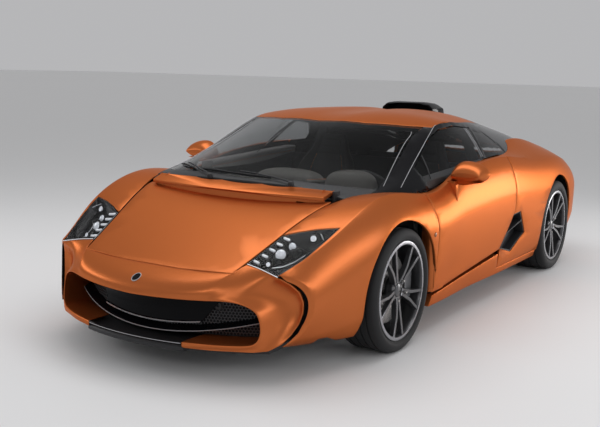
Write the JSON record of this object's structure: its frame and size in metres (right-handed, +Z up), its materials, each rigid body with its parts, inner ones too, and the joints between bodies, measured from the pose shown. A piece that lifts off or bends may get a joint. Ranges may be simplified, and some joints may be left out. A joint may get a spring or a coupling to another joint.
{
  "type": "sports coupe",
  "caption": "Low mid-engined two-seat sports coupe with opening doors, bonnet and engine cover, steered front wheels and turning road wheels.",
  "frame": {"origin": "on the ground under the middle of the car's length, on its centre line", "axes": "+Y towards the tail along the car's length, +Z up, +X towards the car's own left side"},
  "size_m": [2.172, 4.4878, 1.224],
  "materials": {
    "body_paint": "satin metallic",
    "gloss_black": "gloss",
    "satin_black": "satin",
    "window_glass": "clear",
    "lamp_clear": "clear",
    "lamp_red": "gloss",
    "rubber_tyre": "matt",
    "rim_metal": "dark gloss",
    "cast_metal": "machined",
    "alloy": "satin",
    "seat_leather": "matt",
    "steel": "brushed"
  },
  "bodies": {
    "chassis": {"nose_panel": "body_paint", "front_grille": "satin_black", "splitter": "satin_black", "nose_ducts": "satin_black", "front_wings": "body_paint", "headlamps": "satin_black", "headlamp_glass": "lamp_clear", "cowl": "satin_black", "wipers": "satin_black", "windscreen": "window_glass", "roof": "body_paint", "pillars": "gloss_black", "quarter_glass": "window_glass", "roof_scoop": "gloss_black", "rear_quarters": "body_paint", "side_intakes": "gloss_black", "rear_bumper": "body_paint", "rear_mesh": "satin_black", "tail_lamps": "lamp_red", "diffuser": "satin_black", "exhaust": "steel", "engine": "cast_metal", "tub": "satin_black", "sills": "satin_black", "seats": "seat_leather", "dashboard": "seat_leather", "steering_wheel": "seat_leather", "suspension_arms": "alloy", "rear_knuckles": "cast_metal"},
    "bonnet_lid": {"bonnet": "body_paint"},
    "engine_lid": {"engine_cover": "gloss_black"},
    "door_left_leaf": {"door_left": "body_paint", "door_glass_left": "window_glass", "mirror_left": "body_paint"},
    "upright_left": {"knuckle_left": "cast_metal"},
    "door_right_leaf": {"door_right": "body_paint", "door_glass_right": "window_glass", "mirror_right": "body_paint"},
    "upright_right": {"knuckle_right": "cast_metal"},
    "road_wheel_front_left": {"tyre_front_left": "rubber_tyre", "wheel_front_left": "rim_metal"},
    "road_wheel_front_right": {"tyre_front_right": "rubber_tyre", "wheel_front_right": "rim_metal"},
    "road_wheel_rear_left": {"tyre_rear_left": "rubber_tyre", "wheel_rear_left": "rim_metal"},
    "road_wheel_rear_right": {"tyre_rear_right": "rubber_tyre", "wheel_rear_right": "rim_metal"}
  },
  "joints": [
    {"name": "bonnet_hinge", "type": "hinge", "parent": "chassis", "child": "bonnet_lid", "pos_m": [0, -1.346, 0.815], "axis": [-1, 0, 0], "range_deg": [0, 60]},
    {"name": "engine_lid_hinge", "type": "hinge", "parent": "chassis", "child": "engine_lid", "pos_m": [0, 0.935, 1.078], "axis": [1, 0, 0], "range_deg": [0, 45]},
    {"name": "door_left_hinge", "type": "hinge", "parent": "chassis", "child": "door_left_leaf", "pos_m": [0.88, -0.755, 0.5], "axis": [0, 0, -1], "range_deg": [0, 60]},
    {"name": "steer_left", "type": "hinge", "parent": "chassis", "child": "upright_left", "pos_m": [0.775, -1.19, 0.324], "axis": [0, 0, 1], "range_deg": [-32, 32]},
    {"name": "door_right_hinge", "type": "hinge", "parent": "chassis", "child": "door_right_leaf", "pos_m": [-0.88, -0.755, 0.5], "axis": [0, 0, 1], "range_deg": [0, 60]},
    {"name": "steer_right", "type": "hinge", "parent": "chassis", "child": "upright_right", "pos_m": [-0.775, -1.19, 0.324], "axis": [0, 0, 1], "range_deg": [-32, 32]},
    {"name": "spin_front_left", "type": "hinge", "parent": "upright_left", "child": "road_wheel_front_left", "pos_m": [0.8, -1.19, 0.324], "axis": [1, 0, 0], "continuous": true},
    {"name": "spin_front_right", "type": "hinge", "parent": "upright_right", "child": "road_wheel_front_right", "pos_m": [-0.8, -1.19, 0.324], "axis": [1, 0, 0], "continuous": true},
    {"name": "spin_rear_left", "type": "hinge", "parent": "chassis", "child": "road_wheel_rear_left", "pos_m": [0.8, 1.37, 0.332], "axis": [1, 0, 0], "continuous": true},
    {"name": "spin_rear_right", "type": "hinge", "parent": "chassis", "child": "road_wheel_rear_right", "pos_m": [-0.8, 1.37, 0.332], "axis": [1, 0, 0], "continuous": true}
  ],
  "couplings": [
    {"joint": "steer_right", "follows": "steer_left", "ratio": 1}
  ]
}
